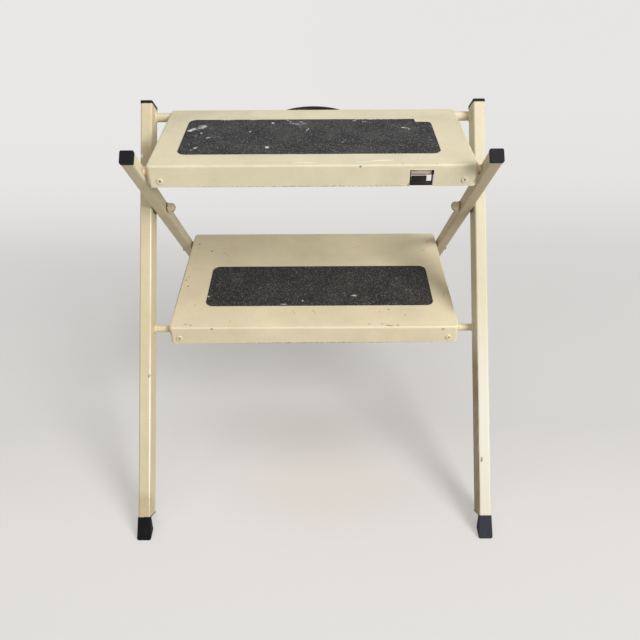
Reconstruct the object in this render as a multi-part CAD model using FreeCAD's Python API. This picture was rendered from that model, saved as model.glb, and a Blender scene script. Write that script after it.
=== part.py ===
# Folding two-step stool, in millimetres.
# X runs across the stool, Y from the front to the back and Z up.
# The stool stands open on the floor at Z = 0, centred on its footprint.
# Left and right are as seen from the front.

import FreeCAD, Part
import math
import os

# Main sizes.
STEP_WIDTH = 400.0
TOP_HEIGHT = 435.0
TOP_FRONT = 206.0
TOP_DEPTH = 182.0
LOW_HEIGHT = 212.0
LOW_FRONT = 172.0
LOW_DEPTH = 248.0
APRON = 28.0
SHEET = 1.2
LEAN = 41.0

# Long legs: flat oblong tubes on the outside.
LONG_WIDE = 16.0
LONG_DEEP = 30.0
LONG_LENGTH = 566.0
LONG_INNER_X = 222.0
LONG_END_Z = 24.0

# Rear legs: square tubes between the long legs and the steps.
REAR_SIZE = 16.0
REAR_INNER_X = 204.0
REAR_ABOVE = 160.0
REAR_BELOW = 413.0

WALL = 1.2
CORNER = 2.5

# Round bars.
CROSSBAR_R = 6.35
ROD_R = 4.75
PIVOT_R = 4.0

# Heights of the pivots and supports, and how far each one sits
# towards the back of the tube's middle line.
CROSS_Z = 334.0
CROSSBAR_Z = 427.2
CROSSBAR_BACK = 7.2
STEP_PIN_Z = 201.0
STEP_PIN_BACK = 8.0
FRONT_ROD_Z = 421.4
FRONT_ROD_BACK = 3.5
FRONT_ROD_R = 5.9
LOW_PIVOT_Z = 192.0

SIN = math.sin(math.radians(LEAN))
COS = math.cos(math.radians(LEAN))

parts = {}


# Points in the side view are (y, z) pairs.
def along(start, direction, distance):
    return (
        start[0] + direction[0] * distance,
        start[1] + direction[1] * distance,
    )


LONG_UP = (SIN, COS)
LONG_BACK = (COS, -SIN)
REAR_UP = (-SIN, COS)
REAR_BACK = (COS, SIN)

LONG_FOOT = along((0.0, LONG_END_Z), LONG_BACK, LONG_DEEP / 2)


def on_long_leg(height, back):
    rise = (height + SIN * back - LONG_FOOT[1]) / COS
    return along(along(LONG_FOOT, LONG_UP, rise), LONG_BACK, back)


CROSS = on_long_leg(CROSS_Z, 0.0)
CROSSBAR = on_long_leg(CROSSBAR_Z, CROSSBAR_BACK)
STEP_PIN = on_long_leg(STEP_PIN_Z, STEP_PIN_BACK)


def on_rear_leg(height):
    return along(CROSS, REAR_UP, (height - CROSS[1]) / COS)


FRONT_ROD = along(on_rear_leg(FRONT_ROD_Z), REAR_BACK, FRONT_ROD_BACK)
LOW_PIVOT = on_rear_leg(LOW_PIVOT_Z)


def box(x0, x1, y0, y1, z0, z1):
    corner = FreeCAD.Vector(x0, y0, z0)
    return Part.makeBox(x1 - x0, y1 - y0, z1 - z0, corner)


def bar(point, radius, x0, x1):
    start = FreeCAD.Vector(x0, point[0], point[1])
    return Part.makeCylinder(radius, x1 - x0, start, FreeCAD.Vector(1, 0, 0))


def prism(points, x0, x1):
    corners = [FreeCAD.Vector(x0, y, z) for y, z in points]
    corners.append(corners[0])
    face = Part.Face(Part.makePolygon(corners))
    return face.extrude(FreeCAD.Vector(x1 - x0, 0, 0))


def straight_edges(shape, axis):
    chosen = []
    for edge in shape.Edges:
        if len(edge.Vertexes) == 2:
            step = edge.Vertexes[1].Point.sub(edge.Vertexes[0].Point)
            step.normalize()
            if abs(step.dot(axis)) > 0.999:
                chosen.append(edge)
    return chosen


def level_edges(shape, height):
    chosen = []
    for edge in shape.Edges:
        if all(abs(v.Point.z - height) < 0.001 for v in edge.Vertexes):
            chosen.append(edge)
    return chosen


def mirrored(shape):
    return shape.mirror(FreeCAD.Vector(0, 0, 0), FreeCAD.Vector(1, 0, 0))


def add_pair(name, right_shape):
    parts[name + "_right"] = right_shape
    parts[name + "_left"] = mirrored(right_shape)


def both_sides(right_shape):
    return Part.makeCompound([mirrored(right_shape), right_shape])


# A leg tube stands on z = 0 and is then leaned and moved.
def tube(wide, deep, length):
    outer = box(-wide / 2, wide / 2, -deep / 2, deep / 2, 0, length)
    outer = outer.makeFillet(CORNER, straight_edges(outer, FreeCAD.Vector(0, 0, 1)))
    x = wide / 2 - WALL
    y = deep / 2 - WALL
    inner = box(-x, x, -y, y, -1, length + 1)
    inner = inner.makeFillet(
        CORNER - WALL, straight_edges(inner, FreeCAD.Vector(0, 0, 1))
    )
    return outer.cut(inner)


def leaned(shape, lean, x, point):
    turned = shape.copy()
    turned.Placement = FreeCAD.Placement(
        FreeCAD.Vector(x, point[0], point[1]),
        FreeCAD.Rotation(FreeCAD.Vector(1, 0, 0), lean),
    )
    return turned


# A plug for the open top of a tube: a thin lid with a stem below it.
def tube_cap(wide, deep):
    lid_x = wide / 2 + 0.3
    lid_y = deep / 2 + 0.3
    lid = box(-lid_x, lid_x, -lid_y, lid_y, 0, 4.2)
    lid = lid.makeFillet(2.0, straight_edges(lid, FreeCAD.Vector(0, 0, 1)))
    lid = lid.makeFillet(0.7, level_edges(lid, 4.2))
    x = wide / 2 - WALL - 0.1
    y = deep / 2 - WALL - 0.1
    stem = box(-x, x, -y, y, -14, 0)
    stem = stem.makeFillet(1.6, straight_edges(stem, FreeCAD.Vector(0, 0, 1)))
    core = box(-x + 1.6, x - 1.6, -y + 1.6, y - 1.6, -15, 0)
    return lid.fuse(stem.cut(core)).removeSplitter()


# A rubber shoe: the profile below the tube's end, spreading a little to
# its sole, a thin plate over the end, and a stem inside the tube.
def foot(profile, wide, inner_x, lean, end_point, stem_deep):
    x0 = inner_x - 1.6
    x1 = inner_x + wide + 1.6
    shoe = prism(profile, x0, x1)
    side_corners = [
        (x0 + 1.4, 30.0),
        (x0, 0.0),
        (x1, 0.0),
        (x1 - 1.4, 30.0),
        (x0 + 1.4, 30.0),
    ]
    sides = Part.Face(
        Part.makePolygon([FreeCAD.Vector(x, -420, z) for x, z in side_corners])
    )
    block = sides.extrude(FreeCAD.Vector(0, 1240, 0))
    block = block.makeFillet(2.6, level_edges(block, 0))
    shoe = shoe.common(block)
    shoe = shoe.makeFillet(1.1, shoe.Edges)
    plate = box(-wide / 2, wide / 2, -stem_deep / 2, stem_deep / 2, -1.6, 0)
    plate = plate.makeFillet(0.7, level_edges(plate, -1.6))
    plate = leaned(plate, lean, inner_x + wide / 2, end_point)
    shoe = shoe.fuse(plate)
    x = wide / 2 - WALL - 0.1
    y = stem_deep / 2 - WALL - 0.1
    stem = box(-x, x, -y, y, -1.5, 22)
    stem = stem.makeFillet(1.6, straight_edges(stem, FreeCAD.Vector(0, 0, 1)))
    stem = leaned(stem, lean, inner_x + wide / 2, end_point)
    return shoe.fuse(stem).removeSplitter()


# Long legs with their caps and front feet.
long_leg = tube(LONG_WIDE, LONG_DEEP, LONG_LENGTH)
long_x = LONG_INNER_X + LONG_WIDE / 2
long_leg = leaned(long_leg, -LEAN, long_x, LONG_FOOT)
long_leg = long_leg.cut(
    bar(CROSS, PIVOT_R + 0.05, LONG_INNER_X - 1, LONG_INNER_X + LONG_WIDE + 1)
)
add_pair("long_leg", long_leg)

long_top = along(LONG_FOOT, LONG_UP, LONG_LENGTH)
cap = leaned(tube_cap(LONG_WIDE, LONG_DEEP), -LEAN, long_x, long_top)
add_pair("long_leg_cap", cap)

front_corner = (0.0, LONG_END_Z)
front_toe = along(front_corner, LONG_UP, -LONG_END_Z / COS)
front_profile = [
    along(front_corner, LONG_BACK, -0.6),
    along(front_toe, (1, 0), -0.8),
    along(front_toe, (1, 0), 17.0),
    along(along(front_corner, LONG_BACK, 5.0), LONG_UP, -0.6),
]
front_foot = foot(
    front_profile, LONG_WIDE, LONG_INNER_X, -LEAN, LONG_FOOT, LONG_DEEP
)
add_pair("front_foot", front_foot)


# The round crossbar between the long legs carries the top step's back edge.
# A weld bead runs round it where it meets each leg.
crossbar = bar(CROSSBAR, CROSSBAR_R, -LONG_INNER_X, LONG_INNER_X)
crossbar = crossbar.cut(
    bar(CROSSBAR, CROSSBAR_R - WALL, -LONG_INNER_X + 3, LONG_INNER_X - 3)
)
bead = Part.makeCone(
    CROSSBAR_R,
    CROSSBAR_R + 2.0,
    2.4,
    FreeCAD.Vector(LONG_INNER_X - 2.4, CROSSBAR[0], CROSSBAR[1]),
    FreeCAD.Vector(1, 0, 0),
)
bead = bead.cut(bar(CROSSBAR, CROSSBAR_R - 0.5, 0, LONG_INNER_X + 1))
crossbar = crossbar.fuse(bead).fuse(mirrored(bead)).removeSplitter()
parts["rear_crossbar"] = crossbar


# Stub pins on the long legs hold up the front of the lower step.
pin = bar(STEP_PIN, ROD_R, LONG_INNER_X - 26, LONG_INNER_X)
pin = pin.makeFillet(
    1.6,
    [e for e in pin.Edges if abs(e.BoundBox.XMax - LONG_INNER_X + 26) < 0.01],
)
collar = Part.makeCone(
    ROD_R,
    ROD_R + 2.2,
    2.6,
    FreeCAD.Vector(LONG_INNER_X - 2.6, STEP_PIN[0], STEP_PIN[1]),
    FreeCAD.Vector(1, 0, 0),
)
add_pair("step_pin", pin.fuse(collar).removeSplitter())


# Rear legs with their caps and rear feet.
rear_end = along(CROSS, REAR_UP, -REAR_BELOW)
rear_x = REAR_INNER_X + REAR_SIZE / 2
rear_leg = tube(REAR_SIZE, REAR_SIZE, REAR_BELOW + REAR_ABOVE)
rear_leg = leaned(rear_leg, LEAN, rear_x, rear_end)
for point, radius in ((CROSS, PIVOT_R), (LOW_PIVOT, ROD_R)):
    hole = bar(
        point, radius + 0.05, REAR_INNER_X - 1, REAR_INNER_X + REAR_SIZE + 1
    )
    rear_leg = rear_leg.cut(hole)
add_pair("rear_leg", rear_leg)

rear_top = along(CROSS, REAR_UP, REAR_ABOVE)
cap = leaned(tube_cap(REAR_SIZE, REAR_SIZE), LEAN, rear_x, rear_top)
add_pair("rear_leg_cap", cap)

rear_low_corner = along(rear_end, REAR_BACK, -REAR_SIZE / 2)
rear_high_corner = along(rear_end, REAR_BACK, REAR_SIZE / 2)
rear_heel = along(rear_high_corner, REAR_UP, -rear_high_corner[1] / COS)
rear_profile = [
    along(rear_low_corner, REAR_BACK, -0.6),
    (rear_heel[0] - 24.0, 0.0),
    (rear_heel[0] + 0.8, 0.0),
    along(rear_high_corner, REAR_BACK, 0.6),
]
rear_foot = foot(
    rear_profile, REAR_SIZE, REAR_INNER_X, LEAN, rear_end, REAR_SIZE
)
add_pair("rear_foot", rear_foot)

# The thin rod between the rear legs, just under the top step's front edge.
front_rod = bar(FRONT_ROD, FRONT_ROD_R, -REAR_INNER_X, REAR_INNER_X)
rod_bead = Part.makeCone(
    FRONT_ROD_R,
    FRONT_ROD_R + 1.2,
    1.6,
    FreeCAD.Vector(REAR_INNER_X - 1.6, FRONT_ROD[0], FRONT_ROD[1]),
    FreeCAD.Vector(1, 0, 0),
)
leg_block = Part.makeBox(
    40, REAR_SIZE, 560, FreeCAD.Vector(-20, -REAR_SIZE / 2, 0)
)
rod_bead = rod_bead.common(leaned(leg_block, LEAN, rear_x, rear_end))
front_rod = front_rod.fuse(rod_bead).fuse(mirrored(rod_bead)).removeSplitter()
parts["front_cross_rod"] = front_rod


# Crossing pivots: a pin with a flat head outside, a round knob inside
# and a washer between the two tubes.
outside = LONG_INNER_X + LONG_WIDE
shank = bar(CROSS, PIVOT_R, REAR_INNER_X - 6.0, outside)
head = bar(CROSS, 7.0, outside, outside + 1.6)
head = head.makeFillet(
    0.8, [e for e in head.Edges if abs(e.BoundBox.XMin - outside - 1.6) < 0.01]
)
parts["cross_pivot_pins"] = both_sides(shank.fuse(head).removeSplitter())

knob_end = REAR_INNER_X - 11.0
knob = bar(CROSS, 6.0, knob_end, REAR_INNER_X - 0.1)
knob = knob.makeFillet(
    4.0, [e for e in knob.Edges if abs(e.BoundBox.XMax - knob_end) < 0.01]
)
knob = knob.fuse(bar(CROSS, 6.8, REAR_INNER_X - 1.5, REAR_INNER_X - 0.1))
knob = knob.cut(bar(CROSS, PIVOT_R, REAR_INNER_X - 6.0, REAR_INNER_X))
knob = knob.cut(bar(CROSS, 1.2, knob_end - 1, REAR_INNER_X)).removeSplitter()
parts["pivot_knobs"] = both_sides(knob)

washer = bar(CROSS, 9.0, REAR_INNER_X + REAR_SIZE + 0.1, LONG_INNER_X - 0.1)
washer = washer.cut(bar(CROSS, PIVOT_R + 0.1, REAR_INNER_X, LONG_INNER_X))
parts["pivot_washers"] = both_sides(washer)


# A step is one folded sheet: a flat top and an apron down each side.
# The block is the step's outside, or its inside when inset by the sheet.
def step_block(front, depth, height, inset):
    half = STEP_WIDTH / 2 - inset
    low = height - APRON
    if inset > 0:
        low = low - 5
    top = height - inset
    up = FreeCAD.Vector(0, 0, 1)
    block = box(-half, half, front + inset, front + depth - inset, low, top)
    block = block.makeFillet(5.0 - inset, straight_edges(block, up))
    return block.makeFillet(2.6 - inset, level_edges(block, top))


def step_sheet(front, depth, height):
    outside = step_block(front, depth, height, 0)
    return outside.cut(step_block(front, depth, height, SHEET))


# A notch seats a bar and opens downwards and backwards, the way it leaves.
def notch(point, radius, reach, slant):
    half = STEP_WIDTH / 2
    seat = bar(point, radius, -half - 2, half + 2)
    low = point[1] - reach
    mouth = prism(
        [
            (point[0] - radius, point[1]),
            (point[0] - radius + 0.4 * slant, low),
            (point[0] + radius + 1.4 * slant, low),
            (point[0] + radius, point[1]),
        ],
        -half - 2,
        half + 2,
    )
    core = box(
        -half + 12, half - 12, point[0] - 60, point[0] + 60, low - 5, point[1] + 40
    )
    return seat.fuse(mouth).cut(core)


def grip_pad(x0, x1, y0, y1, height):
    pad = box(x0, x1, y0, y1, height, height + 0.8)
    return pad.makeFillet(11.0, straight_edges(pad, FreeCAD.Vector(0, 0, 1)))


# A blind rivet: a low dome with a small hollow where its stem broke off.
def rivet(x, front, z):
    centre = FreeCAD.Vector(x, front, z)
    forward = FreeCAD.Vector(0, -1, 0)
    dome = Part.makeCylinder(4.0, 1.4, centre, forward)
    dome = dome.makeFillet(
        0.9, [e for e in dome.Edges if abs(e.BoundBox.YMax - front + 1.4) < 0.01]
    )
    stem = Part.makeCylinder(
        2.4, 5.2, FreeCAD.Vector(x, front + 4.6, z), forward
    )
    hollow = Part.makeCylinder(
        1.3, 4.0, FreeCAD.Vector(x, front + 2.4, z), forward
    )
    return dome.fuse(stem).cut(hollow).removeSplitter()


def rivet_hole(x, front, z):
    return Part.makeCylinder(
        2.45, 4.0, FreeCAD.Vector(x, front + 3, z), FreeCAD.Vector(0, -1, 0)
    )


# Top step: the sheet, with a cut-out for the latch in its front apron.
top_back = TOP_FRONT + TOP_DEPTH
top_tray = step_sheet(TOP_FRONT, TOP_DEPTH, TOP_HEIGHT)
top_inside = step_block(TOP_FRONT, TOP_DEPTH, TOP_HEIGHT, SHEET)
top_tray = top_tray.cut(notch(FRONT_ROD, FRONT_ROD_R + 0.4, 20, 14.0))
top_tray = top_tray.cut(
    bar(CROSSBAR, CROSSBAR_R + 0.08, -STEP_WIDTH, STEP_WIDTH)
)
LATCH_X0 = 118.0
LATCH_X1 = 147.0
CUTOUT_TOP = TOP_HEIGHT - 6.8
cutout = box(
    LATCH_X0, LATCH_X1, TOP_FRONT - 1, TOP_FRONT + 3, TOP_HEIGHT - 40, CUTOUT_TOP
)
cutout = cutout.makeFillet(
    0.8,
    [
        e
        for e in straight_edges(cutout, FreeCAD.Vector(0, 1, 0))
        if e.BoundBox.ZMax > CUTOUT_TOP - 1
    ],
)
top_tray = top_tray.cut(cutout)
TOP_RIVET_X = 185.0
TOP_RIVET_Z = TOP_HEIGHT - 19.5
for side in (-1, 1):
    top_tray = top_tray.cut(
        rivet_hole(side * TOP_RIVET_X, TOP_FRONT, TOP_RIVET_Z)
    )

parts["top_grip_pad"] = grip_pad(
    -168, 160, TOP_FRONT + 32, TOP_FRONT + 143, TOP_HEIGHT
)
parts["top_step_rivets"] = both_sides(
    rivet(TOP_RIVET_X, TOP_FRONT, TOP_RIVET_Z)
)


# Small angle pieces inside the front corners tie the aprons together.
def corner_angle(inside, front, rivet_x, rivet_z, top):
    x1 = STEP_WIDTH / 2 - SHEET
    y0 = front + SHEET
    across = box(x1 - 26, x1, y0, y0 + 1.4, top - 26, top - 8)
    back = box(x1 - 1.4, x1, y0, y0 + 2.2, top - 26, top - 8)
    angle = across.fuse(back).removeSplitter().common(inside)
    return angle.cut(rivet_hole(rivet_x, front, rivet_z))


# Carrying handle: a bow behind the middle of the top step's back edge.
HANDLE_Z = TOP_HEIGHT - 12.0
HANDLE_SCREW_X = 56.0
HANDLE_SCREW_Z = TOP_HEIGHT - 22.7


# The bow is part of a round ring, with a fixing plate at each end.
def carry_handle():
    tall = 8.0
    centre = FreeCAD.Vector(0, top_back - 27.2, HANDLE_Z - tall / 2)
    ring = Part.makeCylinder(63.0, tall, centre).cut(
        Part.makeCylinder(55.0, tall, centre)
    )
    ring = ring.makeFillet(2.4, [e for e in ring.Edges if len(e.Vertexes) == 1])
    bow = ring.common(box(-70, 70, top_back, top_back + 40, HANDLE_Z - 8, HANDLE_Z + 8))
    plate = box(40, 66, top_back, top_back + 4, HANDLE_SCREW_Z - 6, HANDLE_Z + 6)
    plate = plate.makeFillet(3.0, straight_edges(plate, FreeCAD.Vector(0, 1, 0)))
    bow = bow.fuse(plate).fuse(mirrored(plate))
    for side in (-1, 1):
        centre = FreeCAD.Vector(side * HANDLE_SCREW_X, top_back - 1, HANDLE_SCREW_Z)
        hole = Part.makeCylinder(2.3, 8, centre, FreeCAD.Vector(0, 1, 0))
        bow = bow.cut(hole)
    return bow.removeSplitter()


def handle_screw(x):
    centre = FreeCAD.Vector(x, top_back + 4, HANDLE_SCREW_Z)
    back = FreeCAD.Vector(0, 1, 0)
    head = Part.makeCylinder(4.0, 2.2, centre, back)
    head = head.makeFillet(
        0.9,
        [e for e in head.Edges if abs(e.BoundBox.YMin - top_back - 6.2) < 0.01],
    )
    slot = box(
        x - 5,
        x + 5,
        top_back + 5.3,
        top_back + 8,
        HANDLE_SCREW_Z - 0.5,
        HANDLE_SCREW_Z + 0.5,
    )
    shank = Part.makeCylinder(
        1.95, 11, FreeCAD.Vector(x, top_back - 7, HANDLE_SCREW_Z), back
    )
    return head.fuse(shank).cut(slot).removeSplitter()


def handle_nut(x):
    nut_face = Part.Face(
        Part.makePolygon(
            [
                FreeCAD.Vector(
                    x + 4.0 * math.cos(math.radians(60 * i)),
                    top_back - SHEET - 3.0,
                    HANDLE_SCREW_Z + 4.0 * math.sin(math.radians(60 * i)),
                )
                for i in range(7)
            ]
        )
    )
    nut = nut_face.extrude(FreeCAD.Vector(0, 3.0, 0))
    core = Part.makeCylinder(
        2.0,
        8,
        FreeCAD.Vector(x, top_back - 8, HANDLE_SCREW_Z),
        FreeCAD.Vector(0, 1, 0),
    )
    return nut.cut(core)


parts["carry_handle"] = carry_handle()
parts["handle_screws"] = both_sides(handle_screw(HANDLE_SCREW_X))
parts["handle_nuts"] = both_sides(handle_nut(HANDLE_SCREW_X))
for side in (-1, 1):
    centre = FreeCAD.Vector(side * HANDLE_SCREW_X, top_back - 4, HANDLE_SCREW_Z)
    top_tray = top_tray.cut(
        Part.makeCylinder(2.1, 8, centre, FreeCAD.Vector(0, 1, 0))
    )
parts["top_step_tray"] = top_tray
parts["top_step_angles"] = both_sides(
    corner_angle(top_inside, TOP_FRONT, TOP_RIVET_X, TOP_RIVET_Z, TOP_HEIGHT)
)


# Latch: a black moulding that hangs in the cut-out, under the rod.  Its
# bar fills the cut-out, and two thin arms go up to a pin above the rod.
LATCH_MID = (LATCH_X0 + LATCH_X1) / 2
LATCH_PIVOT = (TOP_FRONT + 4.2, TOP_HEIGHT - 4.4)
LATCH_LOW = TOP_HEIGHT - APRON + 0.6


def latch():
    y0 = TOP_FRONT
    half = (LATCH_X1 - LATCH_X0) / 2 - 0.5
    rail = box(
        LATCH_MID - half,
        LATCH_MID + half,
        y0 + 0.4,
        y0 + 4.8,
        LATCH_LOW,
        LATCH_LOW + 4.2,
    )
    rail = rail.makeFillet(0.9, level_edges(rail, LATCH_LOW))
    block = prism(
        [
            (y0 + 0.6, LATCH_LOW + 1.0),
            (y0 + 1.4, LATCH_LOW + 11.8),
            (y0 + 1.9, LATCH_LOW + 12.4),
            (y0 + 2.6, LATCH_LOW + 12.4),
            (y0 + 6.2, LATCH_LOW + 7.4),
            (y0 + 6.6, LATCH_LOW + 5.0),
            (y0 + 5.6, LATCH_LOW + 1.0),
        ],
        LATCH_MID - 12.3,
        LATCH_MID + 6.2,
    )
    body = rail.fuse(block)
    for x, wide in ((LATCH_MID - half, 1.0), (LATCH_MID + half - 1.7, 1.7)):
        arm = prism(
            [
                (y0 + 0.7, LATCH_LOW + 2.0),
                (y0 + 2.0, TOP_HEIGHT - 9.0),
                (LATCH_PIVOT[0] - 1.2, LATCH_PIVOT[1]),
                (LATCH_PIVOT[0] + 1.2, LATCH_PIVOT[1]),
                (y0 + 3.7, TOP_HEIGHT - 9.0),
                (y0 + 3.7, LATCH_LOW + 9.0),
                (y0 + 3.7, LATCH_LOW + 2.0),
            ],
            x,
            x + wide,
        )
        body = body.fuse(arm).fuse(bar(LATCH_PIVOT, 2.2, x, x + wide))
    body = body.removeSplitter()
    return body.cut(bar(LATCH_PIVOT, 1.25, LATCH_X0, LATCH_X1))


parts["latch"] = latch()
parts["latch_pin"] = bar(
    LATCH_PIVOT, 1.15, LATCH_MID - 16.5, LATCH_MID + 16.5
)


def latch_bracket():
    top = TOP_HEIGHT - SHEET
    y0 = TOP_FRONT + 1.8
    y1 = TOP_FRONT + 6.4
    back = TOP_FRONT + 20
    x0 = LATCH_MID - 16
    x1 = LATCH_MID + 16
    bracket = box(x0, x1, y1 + 0.6, back, top - 0.9, top)
    for x in (x0, x1 - 1):
        bracket = bracket.fuse(box(x, x + 1, y0, y1 - 1.4, top - 6.0, top))
        bracket = bracket.fuse(box(x, x + 1, y1 - 3, back, top - 2.6, top))
    bracket = bracket.removeSplitter().common(top_inside)
    return bracket.cut(bar(LATCH_PIVOT, 1.17, x0 - 1, x1 + 1))


parts["latch_bracket"] = latch_bracket()


def latch_spring():
    wire = 0.3
    turns = 5
    pitch = 0.85
    helix = Part.makeHelix(pitch, pitch * turns, 2.1)
    start = FreeCAD.Vector(2.1, 0, 0)
    section = Part.Wire(
        [Part.Circle(start, FreeCAD.Vector(0, 1, 0), wire).toShape()]
    )
    coil = Part.Wire(helix.Edges).makePipeShell([section], True, False)
    coil.Placement = FreeCAD.Placement(
        FreeCAD.Vector(LATCH_MID + 7.2, LATCH_PIVOT[0], LATCH_PIVOT[1]),
        FreeCAD.Rotation(FreeCAD.Vector(0, 1, 0), 90),
    )
    return coil


parts["latch_spring"] = latch_spring()


# Lower step: the sheet, its pad, rivets and the brackets inside its
# back corners, where the pivot rod passes through.
low_back = LOW_FRONT + LOW_DEPTH
low_tray = step_sheet(LOW_FRONT, LOW_DEPTH, LOW_HEIGHT)
low_inside = step_block(LOW_FRONT, LOW_DEPTH, LOW_HEIGHT, SHEET)
low_tray = low_tray.cut(notch(STEP_PIN, ROD_R + 0.4, 20, 10.5))
low_tray = low_tray.cut(bar(LOW_PIVOT, ROD_R + 0.08, -STEP_WIDTH, STEP_WIDTH))
LOW_RIVET_X = 187.0
LOW_RIVET_Z = LOW_HEIGHT - 18.0
for side in (-1, 1):
    low_tray = low_tray.cut(
        rivet_hole(side * LOW_RIVET_X, LOW_FRONT, LOW_RIVET_Z)
    )
parts["lower_step_tray"] = low_tray
parts["lower_grip_pad"] = grip_pad(
    -156, 172, LOW_FRONT + 49, LOW_FRONT + 149, LOW_HEIGHT
)
parts["lower_step_rivets"] = both_sides(
    rivet(LOW_RIVET_X, LOW_FRONT, LOW_RIVET_Z)
)
parts["lower_step_angles"] = both_sides(
    corner_angle(low_inside, LOW_FRONT, LOW_RIVET_X, LOW_RIVET_Z, LOW_HEIGHT)
)

bracket_x = STEP_WIDTH / 2 - SHEET
bracket_y0 = LOW_PIVOT[0] - 22
bracket_low = LOW_PIVOT[1] - 7.5
bracket_top = LOW_HEIGHT - SHEET
cheek = box(bracket_x - 2, bracket_x, bracket_y0, low_back, bracket_low, bracket_top)
shelf = box(
    bracket_x - 18, bracket_x, bracket_y0, low_back, bracket_top - 2, bracket_top
)
bracket = cheek.fuse(shelf).removeSplitter().common(low_inside)
bracket = bracket.cut(
    bar(LOW_PIVOT, ROD_R + 0.08, bracket_x - 30, bracket_x + 5)
)
add_pair("lower_step_bracket", bracket)

# The pivot rod runs through both rear legs, with a push cap on each end.
rod_end = REAR_INNER_X + REAR_SIZE + 0.8
parts["lower_pivot_rod"] = bar(LOW_PIVOT, ROD_R, -rod_end, rod_end)
cap_x = REAR_INNER_X + REAR_SIZE
push_cap = bar(LOW_PIVOT, 7.0, cap_x + 0.1, cap_x + 1.7)
push_cap = push_cap.makeFillet(
    0.7,
    [e for e in push_cap.Edges if abs(e.BoundBox.XMin - cap_x - 1.7) < 0.01],
)
push_cap = push_cap.cut(bar(LOW_PIVOT, ROD_R, cap_x - 1, rod_end))
parts["pivot_rod_caps"] = both_sides(push_cap)


# Centre the footprint on the origin and write one file for each piece.
whole = Part.makeCompound(list(parts.values()))
middle = -(whole.BoundBox.YMin + whole.BoundBox.YMax) / 2
os.makedirs("parts", exist_ok=True)
for name, shape in parts.items():
    shape.translate(FreeCAD.Vector(0, middle, 0))
    shape.exportStep("parts/" + name + ".step")
for label, point in (
    ("cross pivot", CROSS),
    ("crossbar", CROSSBAR),
    ("step pin", STEP_PIN),
    ("front rod", FRONT_ROD),
    ("lower pivot", LOW_PIVOT),
    ("latch pivot", LATCH_PIVOT),
):
    print(label, round(point[0] + middle, 3), round(point[1], 3))
for name, shape in parts.items():
    print(name, len(shape.Solids), shape.isValid(), shape.BoundBox)
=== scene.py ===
import math

import bmesh
import bpy
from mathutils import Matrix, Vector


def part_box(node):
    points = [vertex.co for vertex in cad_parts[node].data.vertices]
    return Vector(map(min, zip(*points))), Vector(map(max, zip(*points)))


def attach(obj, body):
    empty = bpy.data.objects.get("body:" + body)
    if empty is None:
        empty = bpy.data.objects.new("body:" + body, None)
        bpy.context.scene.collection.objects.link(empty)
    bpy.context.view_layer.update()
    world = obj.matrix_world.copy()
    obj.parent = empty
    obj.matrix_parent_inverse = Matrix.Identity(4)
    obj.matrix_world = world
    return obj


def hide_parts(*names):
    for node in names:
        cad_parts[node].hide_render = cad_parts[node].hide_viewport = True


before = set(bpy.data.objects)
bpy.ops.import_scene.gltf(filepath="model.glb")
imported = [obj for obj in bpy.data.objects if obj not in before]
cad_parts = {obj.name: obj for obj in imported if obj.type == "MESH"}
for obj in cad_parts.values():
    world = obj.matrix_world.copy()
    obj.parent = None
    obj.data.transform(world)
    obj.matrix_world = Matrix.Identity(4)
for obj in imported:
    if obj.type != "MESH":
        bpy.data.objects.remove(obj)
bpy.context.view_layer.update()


# LONG LEGS
# Two oblong welded steel tubes, sawn square at both ends and sprayed with
# cream enamel. Years of use have chipped the enamel along the corners. A pale
# painted highlight runs along their corners. The inner face of the left leg
# carries painted light in pale patches, and the lower inner face of the right
# leg carries painted shade in brown.
def linear(r, g, b):
    out = []
    for value in (r, g, b):
        value = value / 255
        if value <= 0.04045:
            out.append(value / 12.92)
        else:
            out.append(((value + 0.055) / 1.055) ** 2.4)
    return (out[0], out[1], out[2], 1.0)


class Sheet:
    """One node tree, with short ways to add nodes and join them."""

    def __init__(self, tree):
        self.tree = tree

    def node(self, kind, **settings):
        made = self.tree.nodes.new(kind)
        for key, value in settings.items():
            setattr(made, key, value)
        return made

    def feed(self, socket, value):
        if isinstance(value, bpy.types.NodeSocket):
            self.tree.links.new(value, socket)
        else:
            socket.default_value = value

    def math(self, operation, a, b=0.0, clamp=False):
        made = self.node("ShaderNodeMath", operation=operation, use_clamp=clamp)
        self.feed(made.inputs[0], a)
        self.feed(made.inputs[1], b)
        return made.outputs[0]

    def vector(self, operation, a, b=(0, 0, 0)):
        made = self.node("ShaderNodeVectorMath", operation=operation)
        self.feed(made.inputs[0], a)
        self.feed(made.inputs[1], b)
        return made.outputs["Value" if operation in ("LENGTH", "DOT_PRODUCT") else "Vector"]

    def mix(self, amount, a, b, blend="MIX"):
        made = self.node("ShaderNodeMix", data_type="RGBA", blend_type=blend)
        self.feed(made.inputs["Factor"], amount)
        self.feed(made.inputs["A"], a)
        self.feed(made.inputs["B"], b)
        return made.outputs["Result"]

    def step(self, value, low, high, to_low=0.0, to_high=1.0):
        made = self.node("ShaderNodeMapRange", interpolation_type="SMOOTHSTEP")
        self.feed(made.inputs["Value"], value)
        self.feed(made.inputs["From Min"], low)
        self.feed(made.inputs["From Max"], high)
        self.feed(made.inputs["To Min"], to_low)
        self.feed(made.inputs["To Max"], to_high)
        return made.outputs["Result"]

    def noise(self, where, scale, detail=2.0, rough=0.5):
        made = self.node("ShaderNodeTexNoise")
        self.feed(made.inputs["Vector"], where)
        self.feed(made.inputs["Scale"], scale)
        self.feed(made.inputs["Detail"], detail)
        self.feed(made.inputs["Roughness"], rough)
        return made

    def bump(self, height, strength, distance):
        made = self.node("ShaderNodeBump")
        self.feed(made.inputs["Height"], height)
        made.inputs["Strength"].default_value = strength
        made.inputs["Distance"].default_value = distance
        return made.outputs["Normal"]

    def place(self):
        return self.node("ShaderNodeTexCoord").outputs["Object"]

    def group(self, tree, **values):
        made = self.node("ShaderNodeGroup", node_tree=tree)
        for key, value in values.items():
            self.feed(made.inputs[key.replace("_", " ")], value)
        return made.outputs


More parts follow.
